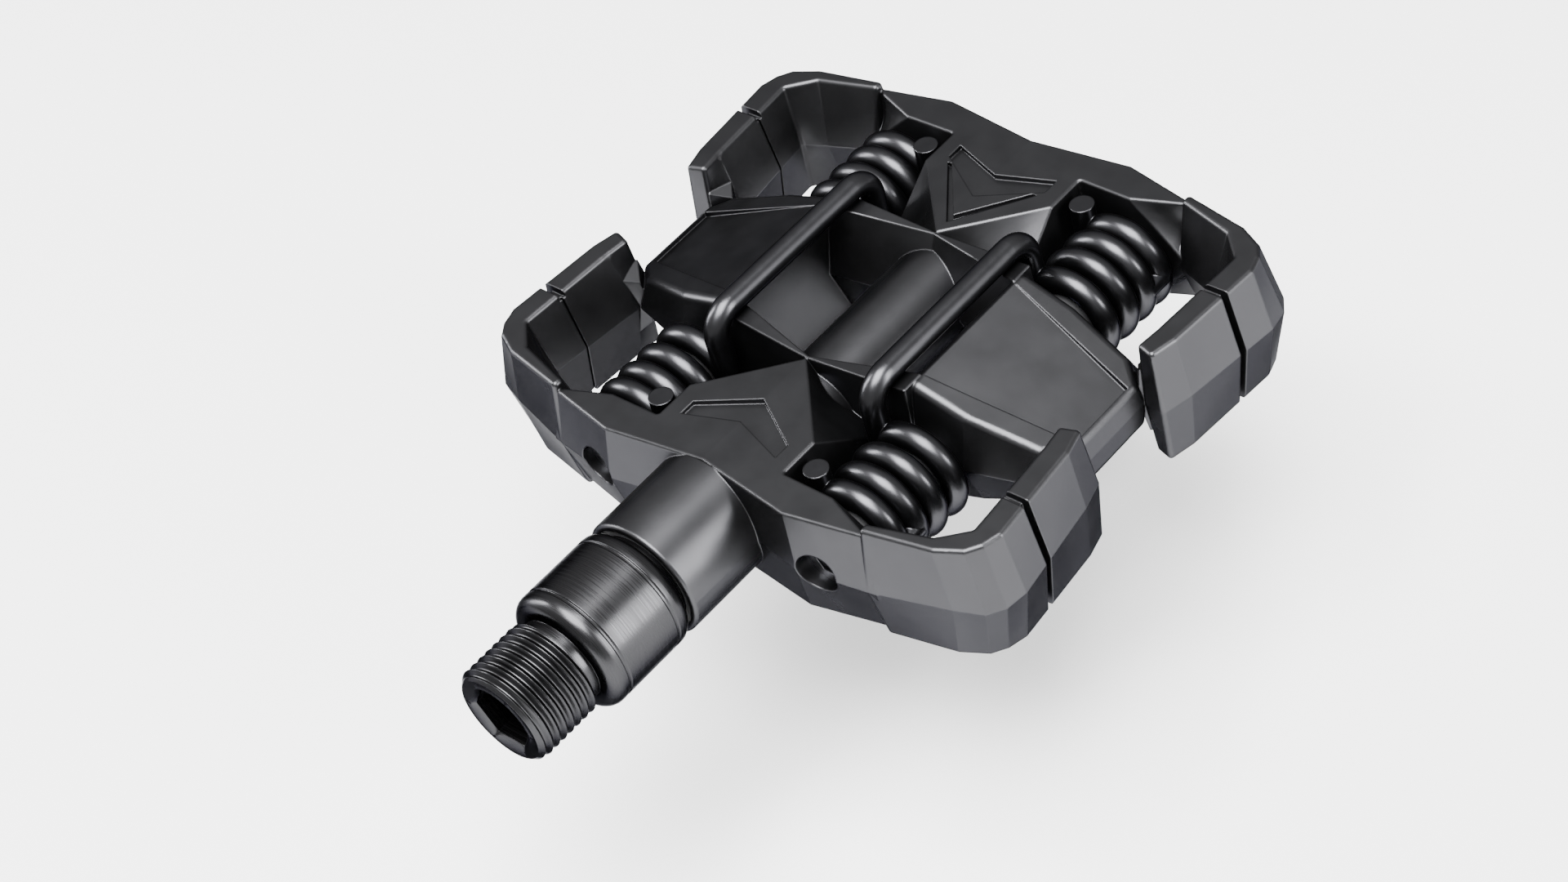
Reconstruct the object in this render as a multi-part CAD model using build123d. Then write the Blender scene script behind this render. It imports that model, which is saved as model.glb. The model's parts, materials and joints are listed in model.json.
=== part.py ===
from build123d import *
from math import cos, pi, sin
import os

# A double-sided clipless bicycle pedal.
# X runs fore and aft, +Y points outboard along the spindle, +Z is up.
# The origin is on the spindle axis, at the inner end of the thread that screws into the crank arm.
# Every piece is drawn about the platform's centre and moved outboard as it is written.

# Driving dimensions, in millimetres
PLATFORM_Y = 64.2

RAIL_TOP = 8.6
RAIL_FALL = 0.015
ARM_TOP = 9.3
BOSS_HALF = 10.8
BAR_X = 13.35
BAR_Z = 11.5
WIRE_R = 1.7
BEND_R = 3.5

PIVOT_X = 19.0
COIL_R = 5.6
TOP_EYE_Y = 15.9
BOTTOM_EYE_Y = 20.0
SPRING_TURNS_Y = (27.25, 23.75)
LEG_TOP = 7.7
LEG_FOOT_Z = 2.6
CROSSING_R = 1.3
CROSSING_SHIFT = 0.5

BLOCK_IN_X = 15.4
BLOCK_OUT_X = 37.1
BLOCK_IN_Z = 10.2
BLOCK_OUT_Z = 3.5
PANEL_DROP = 0.9
PANEL_OUT_X = 36.3
TAB_Z = 3.6
TAB_RISE = 0.8
ARCH_REST_GAP = 0.1

RAIL_ROUND = 0.4
RIDGE_ROUND = 0.2
BLOCK_ROUND = 1.2
ARM_ROUND = 0.6

TUBE_R = 6.5
TUBE_HALF = 15.0
SLEEVE_R = 8.8
SLEEVE_Y = -48.0
SLEEVE_ROOT_Y = -34.0

THREAD_R = 7.14375
THREAD_END_Y = -74.1
THREAD_RELIEF = 1.4
THREAD_RELIEF_R = 6.1
COLLAR_Y = -62.8
COLLAR_END_Y = -48.4
COLLAR_R = 8.8
COLLAR_ROUND = 1.8
HEX_ACROSS = 8.0
HEX_DEPTH = 9.0

SEAL_LAND_R = 6.75
SEAL_Y = (-47.6, -44.6)
SEAL_OUT_R = 7.9
JOURNAL_R = 6.0
BUSH_Y = (-44.4, -28.4)
BUSH_OUT_R = 7.2
SHAFT_R = 4.4
TUBE_BORE_R = 4.8
SEAT_R = 3.48
STUD_R = 3.0

BEARING_Y = (20.6, 25.6)
BEARING_BORE_R = 3.5
BEARING_OUT_R = 7.0
INNER_RING_R = 4.75
OUTER_RING_R = 5.9
BALL_PITCH_R = 5.32
BALL_R = 0.95
BALL_COUNT = 9
RACE_R = 1.0
SHIELD_T = 0.3

WASHER_T = 0.8
NUT_T = 3.0
NUT_ACROSS = 9.0
STUD_END_Y = 30.2
CAP_R = 7.4
CAP_SKIRT_R = 7.0
CAP_Y = (27.6, 33.2)
CAP_FLANGE_T = 2.2
CAP_SOCKET = 6.0
O_RING_R = 0.6

PIN_R = 2.95
PIN_HOLE_R = 3.0
PIN_Y = (-31.8, 32.4)
PIN_HOLE_END_Y = 32.6
SCREW_R = 2.98
SCREW_Y = (-34.2, -31.9)
SCREW_SOCKET = 3.0
SPACER_R = 3.84
SPACER_BORE_R = 2.98
SPACER_Y = (13.85, 29.3)

POCKET_DEPTH = 0.8
SLIT_Y = 20.3
SLIT_W = 1.1


def rod(radius, y_low, y_high, x=0.0):
    """A round bar along Y."""
    middle = (y_low + y_high) / 2
    return Pos(x, middle, 0) * Rot(90, 0, 0) * Cylinder(radius, y_high - y_low)


def tube(outer, inner, y_low, y_high, x=0.0):
    return rod(outer, y_low, y_high, x) - rod(inner, y_low - 1, y_high + 1, x)


def hex_bar(across, y_low, y_high, x=0.0):
    base = Plane(origin=(x, y_low, 0), x_dir=(1, 0, 0), z_dir=(0, 1, 0))
    outline = base * RegularPolygon(across / 2, 6, major_radius=False)
    return extrude(outline, amount=y_high - y_low)


def ring_of_wire(x, y):
    """One closed turn of wire about a pivot pin."""
    return Pos(x, y, 0) * Rot(0, 90, 0) * Rot(90, 0, 0) * Torus(COIL_R, WIRE_R)


def frustum(lower, upper):
    """A drafted solid between two flat outlines with the same number of corners."""
    outlines = []
    for points in (lower, upper):
        outlines.append(Wire.make_polygon([Vector(*point) for point in points], close=True))
    return Solid.make_loft(outlines, ruled=True)


def at_height(points, height):
    return [(x, y, height) for x, y in points]


def mirrored(solid, *planes):
    """The solid together with its reflection in each plane in turn."""
    whole = solid
    for plane in planes:
        whole = whole + mirror(whole, about=plane)
    return whole


def lies_on_cut(edge):
    """Whether an edge lies on one of the planes that the quarters are joined along."""
    start, end = edge @ 0, edge @ 1
    for first, last in ((start.X, end.X), (start.Y, end.Y), (start.Z, end.Z)):
        if abs(first) < 1e-6 and abs(last) < 1e-6:
            return True
    return False


def rises_from(edge, corners):
    """Whether an edge starts from one of these points of the foot."""
    ends = [(end.X, end.Y) for end in (edge @ 0, edge @ 1) if abs(end.Z) < 1e-6]
    return any(abs(x - cx) + abs(y - cy) < 1e-3 for x, y in ends for cx, cy in corners)


def softened(solid, radius, sharp=()):
    """The solid with its outer edges rounded, except those that rise from the blunt corners in sharp."""
    edges = [edge for edge in solid.edges() if not lies_on_cut(edge)]
    return fillet([edge for edge in edges if not rises_from(edge, sharp)], radius)


def rail_quarter():
    """Half of one side rail with half of the boss that carries the cleat."""
    foot = [(0, 34.2), (16.2, 36.9), (28.1, 35.1), (28.4, 29.6), (11.2, 29.6), (11.2, 13.4), (0, 9.0)]
    crown = [(0, 33.8), (15.2, 35.7), (27.5, 33.3), (18.6, 30.3), (BOSS_HALF, 30.3),
             (BOSS_HALF, 24.5), (0, 13.3)]
    top = [(x, y, RAIL_TOP - RAIL_FALL * x) for x, y in crown]
    return softened(frustum(at_height(foot, 0), top), RAIL_ROUND, sharp=[foot[1]])


def ridge_quarter():
    """The wall that runs from the boss's peak to the block and stops the arch."""
    far_x = BLOCK_IN_X + 1
    foot = [(0, 8.6, 0), (far_x, 6.6, 0), (far_x, 13.4, 0), (0, 13.4, 0)]
    rise = (BAR_Z - WIRE_R - ARCH_REST_GAP - RAIL_TOP) / BAR_X
    far_z = RAIL_TOP + rise * far_x
    crest = [(0, 12.9, RAIL_TOP), (far_x, 9.4, far_z), (far_x, 12.9, far_z), (0, 13.3, RAIL_TOP)]
    return softened(frustum(foot, crest), RIDGE_ROUND)


def on_block_slope(points, drop=0.0):
    """Points on the block's sloping top, which falls by a further drop at its outer end."""
    length = BLOCK_OUT_X - BLOCK_IN_X
    fall = (BLOCK_IN_Z - BLOCK_OUT_Z) / length
    return [(x, y, BLOCK_IN_Z - (fall + drop / length) * (x - BLOCK_IN_X)) for x, y in points]


def block_quarter():
    """A quarter of the wedge that closes the platform fore and aft, its panel sunk between two lips."""
    foot = [(BLOCK_IN_X, 0), (BLOCK_IN_X, 13.3), (24.0, 13.5), (34.8, 10.9), (BLOCK_OUT_X, 7.2),
            (BLOCK_OUT_X, 0)]
    crown = [(BLOCK_IN_X, 0), (BLOCK_IN_X, 11.6), (24.0, 11.2), (33.6, 9.2), (BLOCK_OUT_X - 0.2, 6.6),
             (BLOCK_OUT_X - 0.2, 0)]
    block = softened(frustum(at_height(foot, 0), on_block_slope(crown)), BLOCK_ROUND, sharp=[foot[2]])
    panel = [(BLOCK_IN_X - 1, -1), (BLOCK_IN_X - 1, 9.8), (PANEL_OUT_X, 5.4), (PANEL_OUT_X, -1)]
    lifted = [(x, y, z + 5) for x, y, z in on_block_slope(panel)]
    return block - frustum(on_block_slope(panel, PANEL_DROP), lifted)


def arm_quarter():
    """The hooked arm that guards one corner, with the slit across its top and outer face."""
    foot = [(26.0, 35.5), (37.6, 32.4), (41.6, 31.0), (43.2, 28.8), (43.7, 25.6), (41.6, 11.0), (40.4, 6.6),
            (37.2, 6.9), (34.9, 11.0), (36.8, 25.8), (33.0, 27.2), (26.0, 29.6)]
    crown = [(26.0, 33.75), (36.0, 31.9), (39.6, 30.1), (41.0, 28.2), (41.8, 25.6), (40.6, 11.0), (39.6, 7.1),
             (36.8, 8.0), (37.4, 11.5), (38.3, 26.6), (34.9, 30.0), (26.0, 32.4)]
    arm = softened(frustum(at_height(foot, 0), at_height(crown, ARM_TOP)), ARM_ROUND, sharp=foot[2:4])
    slit = Pos(42.7, SLIT_Y, ARM_TOP / 2) * Box(5.0, SLIT_W, ARM_TOP + 2)
    nick = Pos(40.0, SLIT_Y, ARM_TOP) * Box(8.0, SLIT_W, 2.0)
    seam = Pos(36.7, SLIT_Y, ARM_TOP / 2) * Box(3.2, 0.3, ARM_TOP + 2)
    return arm - slit - nick - seam


def tab_quarter():
    """The small web that ties the arm's tip to the block, rising towards the arm."""
    foot = [(34.2, 9.4, 0), (36.6, 6.6, 0), (38.6, 9.6, 0), (36.4, 12.4, 0)]
    crown = [(34.8, 9.6), (36.8, 7.4), (38.4, 9.6), (36.6, 11.8)]
    crest = [(x, y, TAB_Z + TAB_RISE * (x - 34.8)) for x, y in crown]
    return frustum(foot, crest)


def chevron(points):
    """A shallow pocket with the given half outline, cut into one face of a rail."""
    outline = points + [(-x, y) for x, y in reversed(points) if x > 0]
    floor = RAIL_TOP - POCKET_DEPTH
    return extrude(Plane.XY.offset(floor) * Polygon(*outline, align=None), amount=5, dir=(0, 0, 1))


def pockets():
    inboard = chevron([(0, -21.7), (8.15, -26.4), (8.15, -28.8), (0, -26.2)])
    outboard = chevron([(0, 21.2), (8.2, 26.2), (8.2, 28.7), (0, 25.9)])
    groove = chevron([(0, 15.5), (7.6, 25.2), (6.9, 25.2), (0, 17.0)])
    cuts = inboard + outboard + groove
    return cuts + mirror(cuts, about=Plane.XY)


def pedal_body():
    corner = rail_quarter() + ridge_quarter() + block_quarter() + arm_quarter() + tab_quarter()
    body = mirrored(corner, Plane.XY, Plane.YZ, Plane.XZ)
    body = body + rod(TUBE_R, -TUBE_HALF, TUBE_HALF)
    sleeve = fillet(rod(SLEEVE_R, SLEEVE_Y, SLEEVE_ROOT_Y).edges().group_by(Axis.Y)[0], 0.5)
    body = body + sleeve
    bores = rod(SEAL_OUT_R, SLEEVE_Y - 1, SEAL_Y[1])
    bores = bores + rod(BUSH_OUT_R, SEAL_Y[1] - 1, BUSH_Y[1])
    bores = bores + rod(TUBE_BORE_R, BUSH_Y[1] - 1, BEARING_Y[0] + 1)
    bores = bores + rod(BEARING_OUT_R, BEARING_Y[0], CAP_Y[0] + 1)
    bores = bores + rod(CAP_R, CAP_Y[0], 40)
    for x in (-PIVOT_X, PIVOT_X):
        bores = bores + rod(PIN_HOLE_R, -40, PIN_HOLE_END_Y, x)
    return body - bores - pockets()


def spindle():
    collar = rod(COLLAR_R, COLLAR_Y, COLLAR_END_Y)
    axle = fillet(collar.edges(), COLLAR_ROUND)
    shank = rod(THREAD_R, THREAD_END_Y, COLLAR_Y - THREAD_RELIEF)
    axle = axle + chamfer(shank.edges().group_by(Axis.Y)[0], 0.9)
    axle = axle + rod(THREAD_RELIEF_R, COLLAR_Y - THREAD_RELIEF - 1, COLLAR_Y + 1)
    axle = axle + rod(SEAL_LAND_R, COLLAR_END_Y - 1, SEAL_Y[1] + 0.1)
    axle = axle + rod(JOURNAL_R, SEAL_Y[1], BUSH_Y[1] - 0.2)
    axle = axle + rod(SHAFT_R, BUSH_Y[1] - 1, BEARING_Y[0] - 0.2)
    axle = axle + rod(SEAT_R, BEARING_Y[0] - 1, BEARING_Y[1] - 0.1)
    axle = axle + rod(STUD_R, BEARING_Y[1] - 1, STUD_END_Y)
    return axle - hex_bar(HEX_ACROSS, THREAD_END_Y - 1, THREAD_END_Y + HEX_DEPTH)


def race():
    middle = sum(BEARING_Y) / 2
    return Pos(0, middle, 0) * Rot(90, 0, 0) * Torus(BALL_PITCH_R, RACE_R)


def bearing_balls():
    middle = sum(BEARING_Y) / 2
    balls = []
    for index in range(BALL_COUNT):
        angle = 2 * pi * index / BALL_COUNT
        balls.append(Pos(BALL_PITCH_R * cos(angle), middle, BALL_PITCH_R * sin(angle)) * Sphere(BALL_R))
    return Compound(balls)


def bearing_cage():
    """A thin ribbon ring between the balls, with a round window for each of them."""
    middle = sum(BEARING_Y) / 2
    cage = tube(BALL_PITCH_R + 0.2, BALL_PITCH_R - 0.2, middle - 1.4, middle + 1.4)
    for index in range(BALL_COUNT):
        angle = 2 * pi * index / BALL_COUNT
        window = Plane(origin=(0, middle, 0), x_dir=(0, 1, 0), z_dir=(cos(angle), 0, sin(angle)))
        cage = cage - extrude(window * Circle(BALL_R + 0.1), amount=BALL_PITCH_R + 1)
    return cage


def bearing_shields():
    gap = 0.08
    shields = []
    for y_low in (BEARING_Y[0] + 0.1, BEARING_Y[1] - 0.1 - SHIELD_T):
        shields.append(tube(OUTER_RING_R - 0.02, INNER_RING_R + gap, y_low, y_low + SHIELD_T))
    return Compound(shields)


def spindle_nut():
    low = BEARING_Y[1] + WASHER_T
    return hex_bar(NUT_ACROSS, low, low + NUT_T) - rod(STUD_R, low - 1, low + NUT_T + 1)


def end_cap():
    skirt = rod(CAP_SKIRT_R, CAP_Y[0] + 0.8, CAP_Y[1])
    flange = rod(CAP_R - 0.02, CAP_Y[1] - CAP_FLANGE_T, CAP_Y[1])
    cap = skirt + chamfer(flange.edges().group_by(Axis.Y)[-1], 0.4)
    cap = cap - rod(CAP_SKIRT_R - 1.0, CAP_Y[0], CAP_Y[1] - CAP_FLANGE_T)
    return cap - hex_bar(CAP_SOCKET, CAP_Y[1] - 1.5, CAP_Y[1] + 1)


def end_cap_o_ring():
    y = CAP_Y[1] - CAP_FLANGE_T - O_RING_R - 0.05
    seat_r = CAP_SKIRT_R
    ring = Pos(0, y, 0) * Rot(90, 0, 0) * Torus(CAP_R - O_RING_R, O_RING_R)
    return ring - rod(seat_r, y - 1, y + 1)


def pivot_pin(x):
    pin = rod(PIN_R, PIN_Y[0], PIN_Y[1], x)
    return chamfer(pin.edges().group_by(Axis.Y)[-1], 0.5)


def pin_screws():
    screws = []
    for x in (-PIVOT_X, PIVOT_X):
        screw = rod(SCREW_R, SCREW_Y[0], SCREW_Y[1], x)
        screws.append(screw - hex_bar(SCREW_SOCKET, SCREW_Y[0] - 1, SCREW_Y[0] + 1.5, x))
    return Compound(screws)


def arch(end, side, eye_y):
    """A wire hoop over the platform, closed round the pivot pin at both feet."""
    x = end * BAR_X
    foot = side * LEG_FOOT_Z
    bar = side * BAR_Z
    corners = [(x, -eye_y, foot), (x, -eye_y, bar), (x, eye_y, bar), (x, eye_y, foot)]
    path = FilletPolyline(*corners, radius=BEND_R)
    section = Plane(origin=path @ 0, z_dir=path % 0) * Circle(WIRE_R)
    hoop = sweep(section, path=path)
    for y in (-eye_y, eye_y):
        hoop = hoop + ring_of_wire(end * PIVOT_X, y)
    return hoop


def torsion_spring(end, side):
    """Two turns about the pivot, with one leg up and one down beside the boss."""
    x = end * PIVOT_X
    outer_y = side * SPRING_TURNS_Y[0]
    inner_y = side * SPRING_TURNS_Y[1]
    leg_length = LEG_TOP - LEG_FOOT_Z
    leg_middle = (LEG_TOP + LEG_FOOT_Z) / 2
    spring = ring_of_wire(x, outer_y) + ring_of_wire(x, inner_y)
    crossing_x = x + end * (COIL_R + CROSSING_SHIFT)
    crossing = rod(CROSSING_R, min(outer_y, inner_y), max(outer_y, inner_y), crossing_x)
    spring = spring + crossing
    for y, level in ((outer_y, leg_middle), (inner_y, -leg_middle)):
        spring = spring + Pos(end * BAR_X, y, level) * Cylinder(WIRE_R, leg_length)
    return spring


def build():
    ring_low = BEARING_Y[0] + 0.05
    pieces = {
        "pedal_body": pedal_body(),
        "spindle": spindle(),
        "dust_seal": tube(SEAL_OUT_R - 0.02, SEAL_LAND_R + 0.05, SEAL_Y[0], SEAL_Y[1] - 0.05),
        "inboard_bush": tube(BUSH_OUT_R - 0.02, JOURNAL_R + 0.05, BUSH_Y[0], BUSH_Y[1] - 0.1),
        "bearing_inner_ring": tube(INNER_RING_R, BEARING_BORE_R, ring_low, BEARING_Y[1]) - race(),
        "bearing_outer_ring": tube(BEARING_OUT_R - 0.02, OUTER_RING_R, ring_low, BEARING_Y[1]) - race(),
        "bearing_balls": bearing_balls(),
        "bearing_cage": bearing_cage(),
        "bearing_shields": bearing_shields(),
        "spindle_washer": tube(4.6, STUD_R + 0.1, BEARING_Y[1] + 0.02, BEARING_Y[1] + WASHER_T),
        "spindle_nut": spindle_nut(),
        "end_cap": end_cap(),
        "end_cap_o_ring": end_cap_o_ring(),
        "pivot_pin_screws": pin_screws(),
    }
    for end_name, end in (("front", 1), ("rear", -1)):
        pieces[end_name + "_pivot_pin"] = pivot_pin(end * PIVOT_X)
        pieces[end_name + "_top_arch"] = arch(end, 1, TOP_EYE_Y)
        pieces[end_name + "_bottom_arch"] = arch(end, -1, BOTTOM_EYE_Y)
        for side_name, side in (("inboard", -1), ("outboard", 1)):
            corner = end_name + "_" + side_name
            low, high = sorted((side * SPACER_Y[0], side * SPACER_Y[1]))
            pieces[corner + "_spacer"] = tube(SPACER_R, SPACER_BORE_R, low, high, end * PIVOT_X)
            pieces[corner + "_spring"] = torsion_spring(end, side)
    return pieces


def write(pieces):
    os.makedirs("parts", exist_ok=True)
    for name, piece in pieces.items():
        export_step(Pos(0, PLATFORM_Y, 0) * piece, "parts/" + name + ".step")


write(build())
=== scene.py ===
import json
from math import cos, hypot, pi, radians, sin

import bmesh
import bpy
from mathutils import Matrix, Vector


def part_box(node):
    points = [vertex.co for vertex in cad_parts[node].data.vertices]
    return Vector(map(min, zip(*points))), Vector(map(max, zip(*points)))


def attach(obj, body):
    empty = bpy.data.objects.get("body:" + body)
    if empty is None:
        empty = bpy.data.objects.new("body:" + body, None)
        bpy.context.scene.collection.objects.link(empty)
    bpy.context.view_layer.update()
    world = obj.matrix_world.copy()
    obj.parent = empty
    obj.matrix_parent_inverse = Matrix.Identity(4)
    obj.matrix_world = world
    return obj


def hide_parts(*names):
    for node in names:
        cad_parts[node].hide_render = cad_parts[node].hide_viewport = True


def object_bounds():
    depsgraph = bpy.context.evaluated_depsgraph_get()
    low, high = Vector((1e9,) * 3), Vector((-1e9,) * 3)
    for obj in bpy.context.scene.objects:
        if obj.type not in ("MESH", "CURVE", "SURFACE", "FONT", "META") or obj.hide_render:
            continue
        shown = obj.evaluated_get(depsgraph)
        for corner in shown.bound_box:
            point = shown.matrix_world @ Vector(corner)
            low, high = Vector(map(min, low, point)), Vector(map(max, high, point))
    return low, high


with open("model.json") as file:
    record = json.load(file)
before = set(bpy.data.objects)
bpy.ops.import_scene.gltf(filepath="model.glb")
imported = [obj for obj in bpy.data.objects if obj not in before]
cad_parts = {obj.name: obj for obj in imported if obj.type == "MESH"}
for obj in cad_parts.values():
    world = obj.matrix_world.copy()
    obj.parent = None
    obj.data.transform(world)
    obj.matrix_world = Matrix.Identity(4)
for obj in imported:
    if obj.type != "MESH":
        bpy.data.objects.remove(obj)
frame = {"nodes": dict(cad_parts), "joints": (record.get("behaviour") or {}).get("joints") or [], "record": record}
CAD_LOW, CAD_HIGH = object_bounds()
MM = 0.001

# Where the camera stands, from the middle of the platform, and which way its top points
CAMERA_OFFSET = Vector((0.2404, -0.2020, 0.2814))
CAMERA_UP = Vector((-0.417, 0.683, 0.600))
CAMERA_LENS = 74
CAMERA_SENSOR = 36
CAMERA_CLIP = (0.01, 10)

# The point that the camera looks at, from the middle of the CAD box
CAMERA_AIM = Vector((0, -0.002, 0))

# The floor lies just below the circle that the spinning pedal sweeps
FLOOR_GAP = 0.5 * MM
FLOOR_SIZE = 6

# Each area light's name, its place from the middle of the platform, its size and its power
LIGHTS = (
    ("overhead", (0.10, -0.16, 0.70), (0.55, 0.55), 30),
    ("right_strip", (0.60, 0.16, 0.20), (0.10, 0.45), 6),
    ("left_strip", (-0.50, -0.20, 0.24), (0.10, 0.40), 5),
)
SKY_STRENGTH = 0.7

# The crank thread. A form under 1 makes its crests narrower than its roots
THREAD_R = 7.14375 * MM
THREAD_LENGTH = 9.9 * MM
THREAD_PITCH = 1.27 * MM
THREAD_DEPTH = 0.62 * MM
THREAD_FORM = 0.8
THREAD_CHAMFER = 0.9 * MM
THREAD_END_DROP = 0.2 * MM
THREAD_ROWS_PER_TURN = 14

# The hexagon socket in the thread's end, with a bevel at its mouth and a drilled point behind it
SOCKET_SIDES = 6
SOCKET_ACROSS = 8.0 * MM
SOCKET_DEPTH = 9.0 * MM
SOCKET_BEVEL = 0.5 * MM
SOCKET_MOUTH_R = 5.1 * MM
DRILL_POINT_DEPTH = 10.5 * MM
DRILL_POINT_R = 0.5 * MM

# The relief behind the thread and the collar with its fine grooves
RELIEF_R = 6.1 * MM
RELIEF_LENGTH = 1.4 * MM
COLLAR_LENGTH = 14.4 * MM
COLLAR_ROUND = 1.8 * MM
COLLAR_GROOVE = 0.3 * MM
ROUND_STEPS = 6

# The lands behind the collar, for the seal, the bush, the shaft and the bearing. Each has its end, from the
# thread's end, and its radius
AXLE_LANDS = ((19.7 * MM, 6.75 * MM), (35.6 * MM, 6.0 * MM), (84.6 * MM, 4.4 * MM), (89.7 * MM, 3.48 * MM))
STUD_R = 3.0 * MM
STUD_CHAMFER = 0.4 * MM

# Points round a turned piece, and the angle beyond which its edges are drawn sharp
SEGMENTS = 96
SHARP_ANGLE = radians(40)

# The depth of the grain and of the drawing marks, and the range that most of a noise's values lie in
GRAIN_DEPTH = 0.02 * MM
MARK_DEPTH = 0.01 * MM
NOISE_LOW, NOISE_HIGH = 0.3, 0.7

# The radius by which the shading breaks each kind of piece's sharp edges
CASTING_EDGE = 0.30 * MM
WIRE_EDGE = 0.30 * MM
TURNED_EDGE = 0.12 * MM


# ---------------------------------------------------------------- node helpers

def new_material(name):
    material = bpy.data.materials.new(name)
    material.use_nodes = True
    tree = material.node_tree
    return material, tree, tree.nodes["Principled BSDF"]


def coated_metal(name):
    """A metal whose dark coating also keeps its reflections low at grazing angles."""
    material, tree, shader = new_material(name)
    shader.inputs["Metallic"].default_value = 1.0
    shader.inputs["Specular Tint"].default_value = (0.25, 0.25, 0.26, 1)
    return material, tree, shader


def add(tree, kind, **settings):
    node = tree.nodes.new(kind)
    for key, value in settings.items():
        setattr(node, key, value)
    return node


def object_coords(tree, scale=(1, 1, 1)):
    coords = add(tree, "ShaderNodeTexCoord")
    mapping = add(tree, "ShaderNodeMapping")
    mapping.inputs["Scale"].default_value = scale
    tree.links.new(coords.outputs["Object"], mapping.inputs["Vector"])
    return mapping.outputs["Vector"]


def noise(tree, coords, scale, detail, roughness=0.5):
    node = add(tree, "ShaderNodeTexNoise")
    node.inputs["Scale"].default_value = scale
    node.inputs["Detail"].default_value = detail
    node.inputs["Roughness"].default_value = roughness
    tree.links.new(coords, node.inputs["Vector"])
    return node.outputs["Fac"]


def ramp(tree, value, low, high):
    """Maps a noise to a range of numbers."""
    node = add(tree, "ShaderNodeMapRange")
    node.inputs["From Min"].default_value = NOISE_LOW
    node.inputs["From Max"].default_value = NOISE_HIGH
    node.inputs["To Min"].default_value = low
    node.inputs["To Max"].default_value = high
    tree.links.new(value, node.inputs["Value"])
    return node.outputs["Result"]


def colour_mix(tree, value, dark, light):
    node = add(tree, "ShaderNodeMix", data_type="RGBA")
    node.inputs["A"].default_value = (*dark, 1)
    node.inputs["B"].default_value = (*light, 1)
    tree.links.new(value, node.inputs["Factor"])
    return node.outputs["Result"]


def broken_edges(tree, radius):
    """The normal of a surface whose sharpest edges are broken by this radius."""
    node = add(tree, "ShaderNodeBevel", samples=6)
    node.inputs["Radius"].default_value = radius
    return node.outputs["Normal"]


def bump(tree, shader, height, strength, distance, under=None):
    node = add(tree, "ShaderNodeBump")
    node.inputs["Strength"].default_value = strength
    node.inputs["Distance"].default_value = distance
    tree.links.new(height, node.inputs["Height"])
    if under is not None:
        tree.links.new(under, node.inputs["Normal"])
    tree.links.new(node.outputs["Normal"], shader.inputs["Normal"])


# ---------------------------------------------------------------- materials

def coated_casting(name, dark, light, rough, grain):
    """A black coating over cast metal: fine orange peel, slight clouding."""
    material, tree, shader = coated_metal(name)
    coords = object_coords(tree)
    clouds = noise(tree, coords, 60, 3)
    tree.links.new(colour_mix(tree, clouds, dark, light), shader.inputs["Base Color"])
    fine = noise(tree, coords, 2600, 3)
    blotch = noise(tree, coords, 220, 4)
    tree.links.new(ramp(tree, blotch, rough - 0.02, rough + 0.03), shader.inputs["Roughness"])
    bump(tree, shader, fine, grain, GRAIN_DEPTH, broken_edges(tree, CASTING_EDGE))
    return material


def turned_metal(name, dark, light, rough, make=new_material):
    """Metal turned about Y: rings of tool marks, finer than can be counted."""
    material, tree, shader = make(name)
    coords = object_coords(tree, (0.02, 1, 0.02))
    marks = noise(tree, coords, 5200, 3, 0.6)
    clouds = noise(tree, object_coords(tree), 90, 3)
    tree.links.new(colour_mix(tree, clouds, dark, light), shader.inputs["Base Color"])
    tree.links.new(ramp(tree, marks, rough - 0.06, rough + 0.08), shader.inputs["Roughness"])
    shader.inputs["Metallic"].default_value = 1.0
    bump(tree, shader, marks, 0.18, GRAIN_DEPTH, broken_edges(tree, TURNED_EDGE))
    return material


def drawn_wire(name, dark, light, rough, make=new_material):
    """Glossy plated wire with faint drawing marks."""
    material, tree, shader = make(name)
    coords = object_coords(tree)
    clouds = noise(tree, coords, 140, 4)
    tree.links.new(colour_mix(tree, clouds, dark, light), shader.inputs["Base Color"])
    smears = noise(tree, coords, 700, 4)
    tree.links.new(ramp(tree, smears, rough - 0.015, rough + 0.02), shader.inputs["Roughness"])
    shader.inputs["Metallic"].default_value = 1.0
    bump(tree, shader, smears, 0.02, MARK_DEPTH, broken_edges(tree, WIRE_EDGE))
    return material


def moulded(name, dark, light, rough):
    """Moulded polymer or rubber with a fine matt grain."""
    material, tree, shader = new_material(name)
    coords = object_coords(tree)
    clouds = noise(tree, coords, 180, 3)
    tree.links.new(colour_mix(tree, clouds, dark, light), shader.inputs["Base Color"])
    fine = noise(tree, coords, 3000, 2)
    tree.links.new(ramp(tree, fine, rough - 0.05, rough + 0.05), shader.inputs["Roughness"])
    bump(tree, shader, fine, 0.2, GRAIN_DEPTH)
    return material


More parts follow.
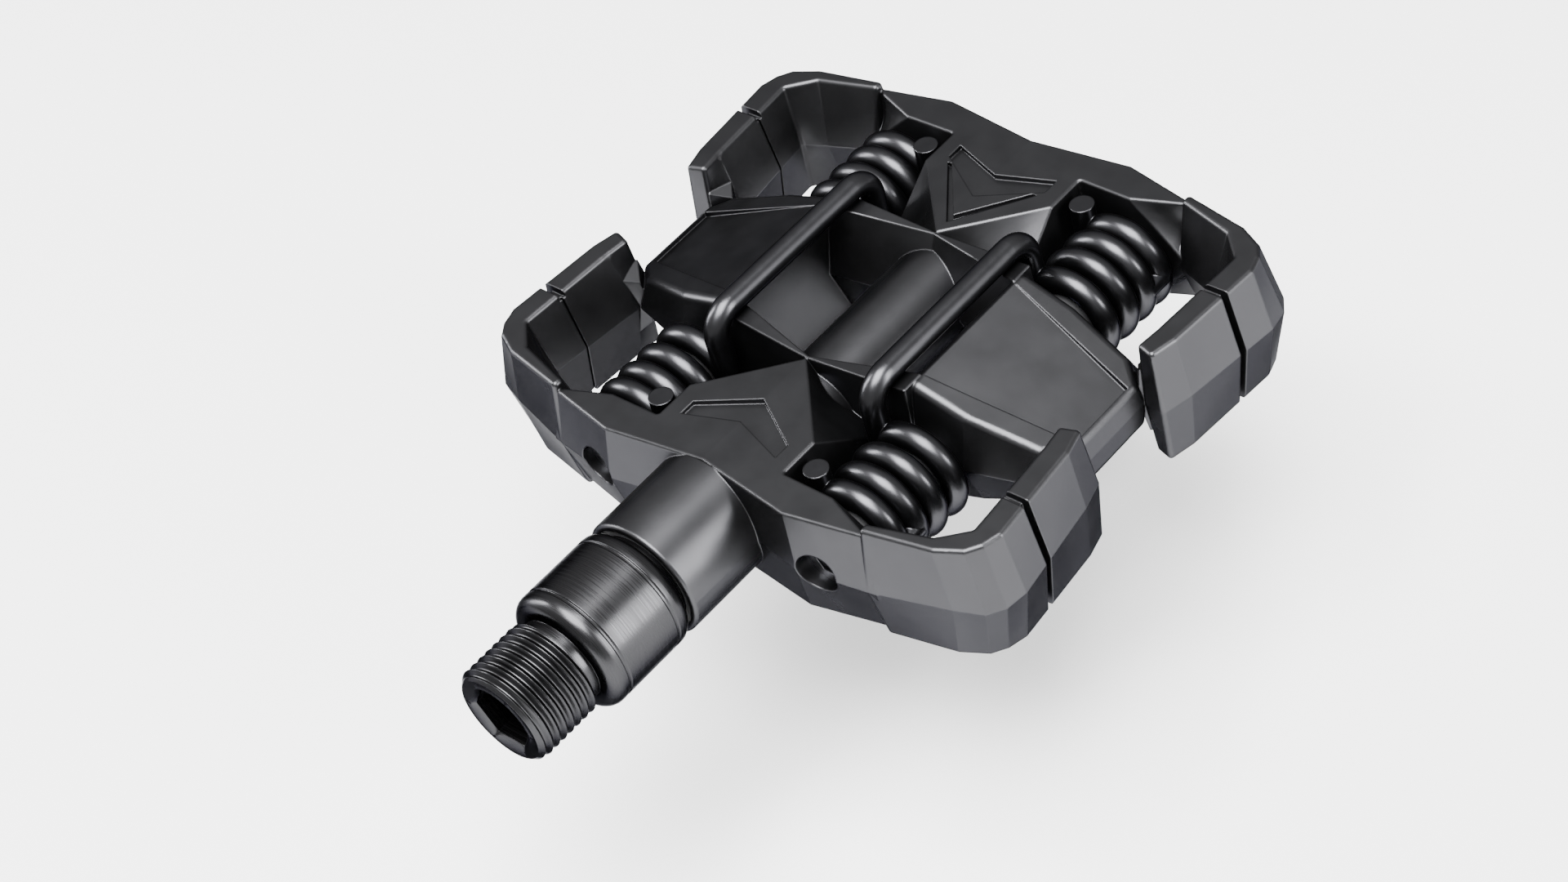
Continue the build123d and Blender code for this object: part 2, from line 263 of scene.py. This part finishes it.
# How each slot is made: its kind of finish, its dark and light shades, its roughness and what else it takes
FINISHES = {
    "body_black": (coated_casting, (0.048, 0.048, 0.051), (0.055, 0.055, 0.058), 0.35, 0.06),
    "spindle_black": (turned_metal, (0.034, 0.034, 0.036), (0.044, 0.044, 0.046), 0.28, coated_metal),
    "wire_black": (drawn_wire, (0.042, 0.042, 0.045), (0.055, 0.055, 0.059), 0.30, coated_metal),
    "rubber_black": (moulded, (0.018, 0.018, 0.019), (0.028, 0.028, 0.03), 0.62),
    "bush_polymer": (moulded, (0.42, 0.31, 0.08), (0.50, 0.38, 0.12), 0.45),
    "spacer_polymer": (moulded, (0.02, 0.02, 0.021), (0.03, 0.03, 0.032), 0.42),
    "bearing_steel": (turned_metal, (0.52, 0.52, 0.54), (0.62, 0.62, 0.64), 0.22),
    "ball_steel": (drawn_wire, (0.72, 0.72, 0.74), (0.80, 0.80, 0.82), 0.08),
    "cage_brass": (turned_metal, (0.62, 0.44, 0.18), (0.70, 0.52, 0.24), 0.28),
    "shield_steel": (turned_metal, (0.42, 0.42, 0.44), (0.50, 0.50, 0.52), 0.30),
    "fastener_steel": (turned_metal, (0.13, 0.13, 0.14), (0.18, 0.18, 0.19), 0.32),
    "pin_steel": (turned_metal, (0.30, 0.30, 0.31), (0.38, 0.38, 0.39), 0.25),
    "cap_black": (turned_metal, (0.040, 0.040, 0.043), (0.052, 0.052, 0.056), 0.30, coated_metal),
}
MATERIALS = {slot: make(slot, *values) for slot, (make, *values) in FINISHES.items()}


def finish_nodes():
    for part in frame["record"]["subparts"]:
        obj = frame["nodes"][part["node"]]
        obj.data.materials.clear()
        obj.data.materials.append(MATERIALS[part["material_slot"]])


# ---------------------------------------------------------------- pieces

def body_holding(node):
    bodies = frame["record"]["behaviour"]["bodies"]
    return [body for body, nodes in bodies.items() if node in nodes][0]


def new_piece(name, bm, node):
    """Stands a finished mesh in for a CAD node, on the same body and with the same finish."""
    mesh = bpy.data.meshes.new(name)
    bm.to_mesh(mesh)
    bm.free()
    mesh.shade_smooth()
    mesh.set_sharp_from_angle(angle=SHARP_ANGLE)
    piece = bpy.data.objects.new(name, mesh)
    bpy.context.scene.collection.objects.link(piece)
    material_slot = [part["material_slot"] for part in frame["record"]["subparts"] if part["node"] == node][0]
    mesh.materials.append(MATERIALS[material_slot])
    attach(piece, body_holding(node))
    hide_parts(node)


def turned(rows):
    """Rings about the spindle's axis. Each row is a y and a radius, or a y and a function of the angle."""
    bm = bmesh.new()
    rings = []
    for y, radius in rows:
        ring = []
        for index in range(SEGMENTS):
            angle = 2 * pi * index / SEGMENTS
            r = radius(angle) if callable(radius) else radius
            ring.append(bm.verts.new((r * sin(angle), y, r * cos(angle))))
        rings.append(ring)
    for ring, following in zip(rings, rings[1:]):
        for index in range(SEGMENTS):
            beside = (index + 1) % SEGMENTS
            bm.faces.new((ring[index], ring[beside], following[beside], following[index]))
    for ring, y in ((rings[0], rows[0][0]), (rings[-1], rows[-1][0])):
        hub = bm.verts.new((0, y, 0))
        for index in range(SEGMENTS):
            bm.faces.new((ring[index], ring[(index + 1) % SEGMENTS], hub))
    bmesh.ops.recalc_face_normals(bm, faces=bm.faces)
    return bm


def hexagon(across):
    """The radius of a hexagon at any angle, with a corner pointing fore."""
    def radius(angle):
        sector = 2 * pi / SOCKET_SIDES
        return across / 2 / cos((angle - pi / 2) % sector - sector / 2)
    return radius


def thread_row(y, start, end):
    """The radius round the thread at one y: a helix, cut down by the chamfer and by the run-out."""
    ceiling = min(THREAD_R, THREAD_R - THREAD_CHAMFER + (y - start), THREAD_R - THREAD_END_DROP + (end - y))

    def radius(angle):
        phase = 2 * pi * (y - start) / THREAD_PITCH - angle
        return min(ceiling, THREAD_R - THREAD_DEPTH * (0.5 - 0.5 * cos(phase)) ** THREAD_FORM)
    return radius


def rounded_step(y_low, y_high, radius, corner, groove):
    """Rows for a land with rounded shoulders, and a fine groove inside each of them."""
    rows = []
    for index in range(ROUND_STEPS + 1):
        turn = pi / 2 * index / ROUND_STEPS
        rows.append((y_low + corner * (1 - cos(turn)), radius - corner * (1 - sin(turn))))
    for middle in (y_low + corner + 3 * groove, y_high - corner - 3 * groove):
        rows += [(middle - groove, radius), (middle - groove / 2, radius - groove / 2),
                 (middle + groove / 2, radius - groove / 2), (middle + groove, radius)]
    for index in range(ROUND_STEPS + 1):
        turn = pi / 2 * (1 - index / ROUND_STEPS)
        rows.append((y_high - corner * (1 - cos(turn)), radius - corner * (1 - sin(turn))))
    return rows


def make_spindle():
    """The axle, with its helical thread, the hex socket in its end and the collar's fine grooves."""
    low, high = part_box("spindle")
    thread_end = low.y + THREAD_LENGTH
    socket = hexagon(SOCKET_ACROSS)
    rows = [(low.y + DRILL_POINT_DEPTH, DRILL_POINT_R), (low.y + SOCKET_DEPTH, socket)]
    rows += [(low.y + SOCKET_BEVEL, socket), (low.y, SOCKET_MOUTH_R), (low.y, THREAD_R - THREAD_CHAMFER)]
    count = round(THREAD_LENGTH / THREAD_PITCH * THREAD_ROWS_PER_TURN)
    for index in range(1, count):
        y = low.y + THREAD_LENGTH * index / count
        rows.append((y, thread_row(y, low.y, thread_end)))
    collar_start = thread_end + RELIEF_LENGTH
    land_start = collar_start + COLLAR_LENGTH
    rows += [(thread_end, RELIEF_R), (collar_start, RELIEF_R)]
    rows += rounded_step(collar_start, land_start, high.z, COLLAR_ROUND, COLLAR_GROOVE)
    for end, radius in AXLE_LANDS:
        rows += [(land_start, radius), (thread_end + end, radius)]
        land_start = thread_end + end
    rows += [(land_start, STUD_R), (high.y - STUD_CHAMFER, STUD_R), (high.y, STUD_R - STUD_CHAMFER)]
    new_piece("threaded_spindle", turned(rows), "spindle")


# ---------------------------------------------------------------- stage

def platform_centre():
    low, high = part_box("pedal_body")
    joint = [j for j in frame["joints"] if j["name"] == "pedal_spin"][0]
    centre = Vector(joint["pos_m"])
    centre.z = (low.z + high.z) / 2
    return centre


def make_camera():
    data = bpy.data.cameras.new("camera")
    data.lens = CAMERA_LENS
    data.sensor_width = CAMERA_SENSOR
    data.clip_start, data.clip_end = CAMERA_CLIP
    camera = bpy.data.objects.new("camera", data)
    bpy.context.scene.collection.objects.link(camera)
    place = platform_centre() + CAMERA_OFFSET
    target = (CAD_LOW + CAD_HIGH) / 2 + CAMERA_AIM
    back = (place - target).normalized()
    right = CAMERA_UP.cross(back).normalized()
    up = back.cross(right)
    turn = Matrix((right, up, back)).transposed()
    camera.matrix_world = Matrix.Translation(place) @ turn.to_4x4()
    bpy.context.scene.camera = camera


def sweep_radius():
    """A radius about the spindle's axis that the body stays within as it spins."""
    low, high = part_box("pedal_body")
    return hypot(max(-low.x, high.x), max(-low.z, high.z))


def make_floor():
    material, tree, shader = new_material("floor")
    clouds = noise(tree, object_coords(tree), 3, 2)
    tree.links.new(colour_mix(tree, clouds, (0.86, 0.86, 0.86), (0.9, 0.9, 0.9)), shader.inputs["Base Color"])
    shader.inputs["Roughness"].default_value = 0.9
    bpy.ops.mesh.primitive_plane_add(size=FLOOR_SIZE, location=(0, 0, -sweep_radius() - FLOOR_GAP))
    floor = bpy.context.object
    floor.name = "floor"
    floor.data.materials.append(material)


def area_light(name, offset, size, power, target):
    data = bpy.data.lights.new(name, "AREA")
    data.shape = "RECTANGLE"
    data.size, data.size_y = size
    data.energy = power
    light = bpy.data.objects.new(name, data)
    bpy.context.scene.collection.objects.link(light)
    light.location = target + Vector(offset)
    light.rotation_mode = "QUATERNION"
    light.rotation_quaternion = Vector(offset).to_track_quat("Z", "Y")


def make_lights():
    centre = platform_centre()
    for name, offset, size, power in LIGHTS:
        area_light(name, offset, size, power, centre)
    world = bpy.data.worlds.new("world")
    world.use_nodes = True
    bpy.context.scene.world = world
    world.node_tree.nodes["Background"].inputs["Color"].default_value = (1, 1, 1, 1)
    world.node_tree.nodes["Background"].inputs["Strength"].default_value = SKY_STRENGTH


finish_nodes()
make_spindle()
make_camera()
make_floor()
make_lights()
